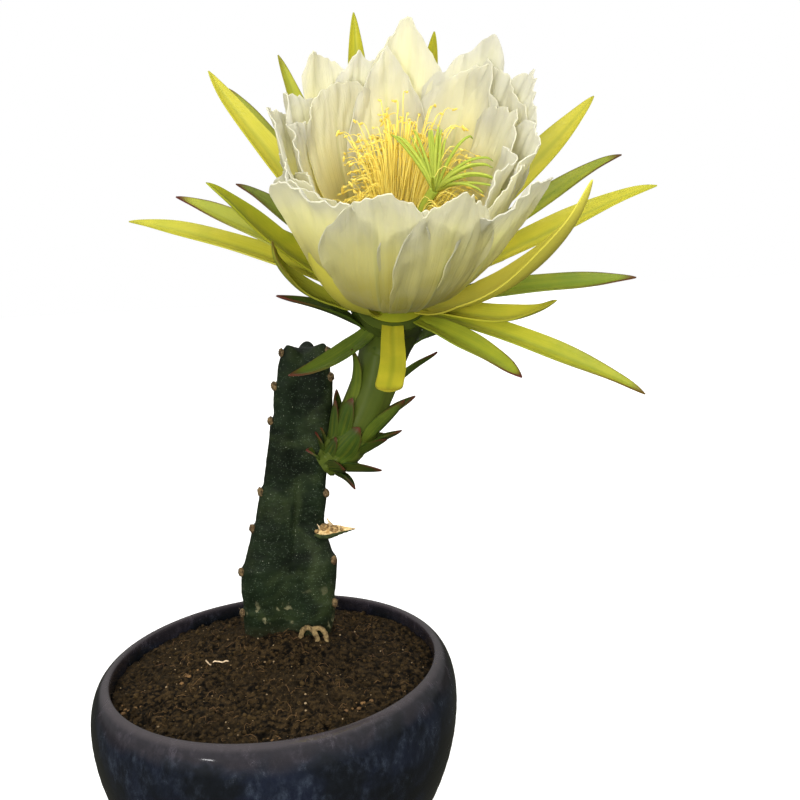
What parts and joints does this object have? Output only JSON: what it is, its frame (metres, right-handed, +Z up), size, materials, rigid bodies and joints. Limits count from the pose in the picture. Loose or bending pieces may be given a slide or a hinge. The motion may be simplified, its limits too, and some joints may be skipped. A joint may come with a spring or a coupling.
{
  "type": "flowering dragon fruit cactus in a glazed pot",
  "caption": "Ribbed dragon fruit cactus stem in a glazed round pot of soil, carrying an open white flower with spreading green and yellow sepals.",
  "frame": {"origin": "centre of the pot's flat base, on the surface it stands on", "axes": "+Z up, +X to the right of the flower as its opening is seen, -Y towards the viewer that the flower faces"},
  "size_m": [0.3465, 0.2535, 0.522],
  "materials": {
    "pot_glaze": "glossy dark blue glaze",
    "potting_soil": "loose, crumbly and matt",
    "stem_skin": "waxy skin",
    "dry_cork": "dry and rough",
    "root_cork": "dry and rough",
    "scale_green": "satin leaf skin",
    "sepal_green": "satin leaf skin",
    "sepal_yellow": "satin leaf skin",
    "petal_white": "thin, silky and translucent",
    "stamen_yellow": "matt",
    "stigma_green": "moist satin"
  },
  "bodies": {
    "root": {"pot": "pot_glaze", "soil": "potting_soil", "stem": "stem_skin", "dried_stub": "dry_cork", "corky_root": "root_cork", "flower_tube": "scale_green", "outer_sepals": "sepal_green", "inner_sepals": "sepal_yellow", "petals": "petal_white", "stamens": "stamen_yellow", "pistil": "stigma_green"}
  },
  "joints": []
}
